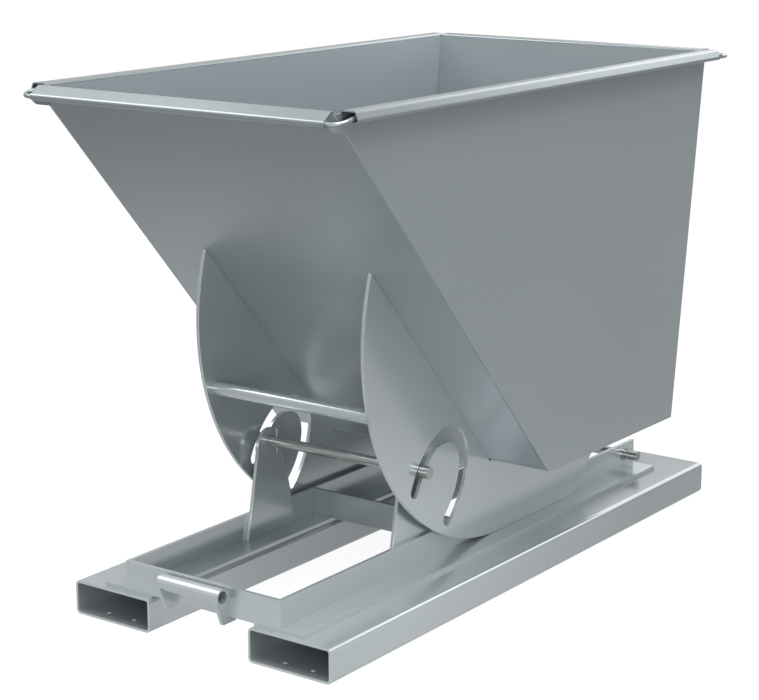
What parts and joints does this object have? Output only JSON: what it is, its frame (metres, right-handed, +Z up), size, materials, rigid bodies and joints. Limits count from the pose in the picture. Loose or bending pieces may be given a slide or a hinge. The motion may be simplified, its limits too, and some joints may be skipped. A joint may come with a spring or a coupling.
{
  "type": "self-dumping hopper",
  "caption": "Galvanised tub on slotted rocker plates that rolls forward on a forklift base to tip its load, with rolled rims, an axle and a rear latch.",
  "frame": {"origin": "middle of the bounding box in X and Y, on the floor plane under the fork pockets", "axes": "+X across the hopper to its right seen from the tipping side, +Y along the fork pockets from the tipping side towards the high rear wall, +Z up"},
  "size_m": [0.805, 1.5452, 1.0836],
  "materials": {
    "galvanised_tub": "galvanised sheet, satin",
    "galvanised_frame": "galvanised plate and tube, satin",
    "bare_steel": "zinc plated turned bar",
    "black_grip": "black sleeve"
  },
  "bodies": {
    "base": {"pocket_left": "galvanised_frame", "pocket_right": "galvanised_frame", "rail_plate_left": "galvanised_frame", "rail_plate_right": "galvanised_frame", "rail_leg_left": "galvanised_frame", "rail_leg_right": "galvanised_frame", "front_crossbar": "galvanised_frame", "mid_crossbar": "galvanised_frame", "centre_rail": "galvanised_frame", "upright_left": "galvanised_frame", "upright_right": "galvanised_frame", "axle": "bare_steel", "axle_pins": "bare_steel", "rear_bar": "bare_steel", "rear_bar_rings": "bare_steel", "bracket_tube": "galvanised_frame", "bracket_ears": "galvanised_frame"},
    "roll_carrier": {"roll_centre_discs": "galvanised_tub"},
    "container": {"front_wall": "galvanised_tub", "floor_plate": "galvanised_tub", "rear_wall": "galvanised_tub", "side_wall_left": "galvanised_tub", "side_wall_right": "galvanised_tub", "rim_front": "galvanised_tub", "rim_left": "galvanised_tub", "rim_right": "galvanised_tub", "rim_rear": "galvanised_tub", "corner_rods": "galvanised_tub", "rocker_left": "galvanised_frame", "rocker_right": "galvanised_frame", "cross_tube": "galvanised_frame", "latch_ears": "bare_steel", "latch_pin": "bare_steel"},
    "latch": {"latch_hook": "bare_steel", "latch_grip": "black_grip"},
    "roller_l": {"roller_left": "bare_steel"},
    "roller_r": {"roller_right": "bare_steel"}
  },
  "joints": [
    {"name": "roll_travel", "type": "slide", "parent": "base", "child": "roll_carrier", "axis": [0, -1, 0], "range_m": [0, 0.41]},
    {"name": "tilt", "type": "hinge", "parent": "roll_carrier", "child": "container", "pos_m": [0, 0.02763, 0.57], "axis": [1, 0, 0], "range_deg": [0, 47.8]},
    {"name": "latch_swing", "type": "hinge", "parent": "container", "child": "latch", "pos_m": [0, 0.57763, 0.33], "axis": [1, 0, 0], "range_deg": [0, 9.5]},
    {"name": "roller_l_spin", "type": "hinge", "parent": "base", "child": "roller_l", "pos_m": [-0.21, -0.26538, 0.2868], "axis": [1, 0, 0], "continuous": true},
    {"name": "roller_r_spin", "type": "hinge", "parent": "base", "child": "roller_r", "pos_m": [0.21, -0.26538, 0.2868], "axis": [1, 0, 0], "continuous": true}
  ],
  "couplings": [
    {"joint": "roll_travel", "follows": "tilt", "m_per_rad": 0.49}
  ]
}
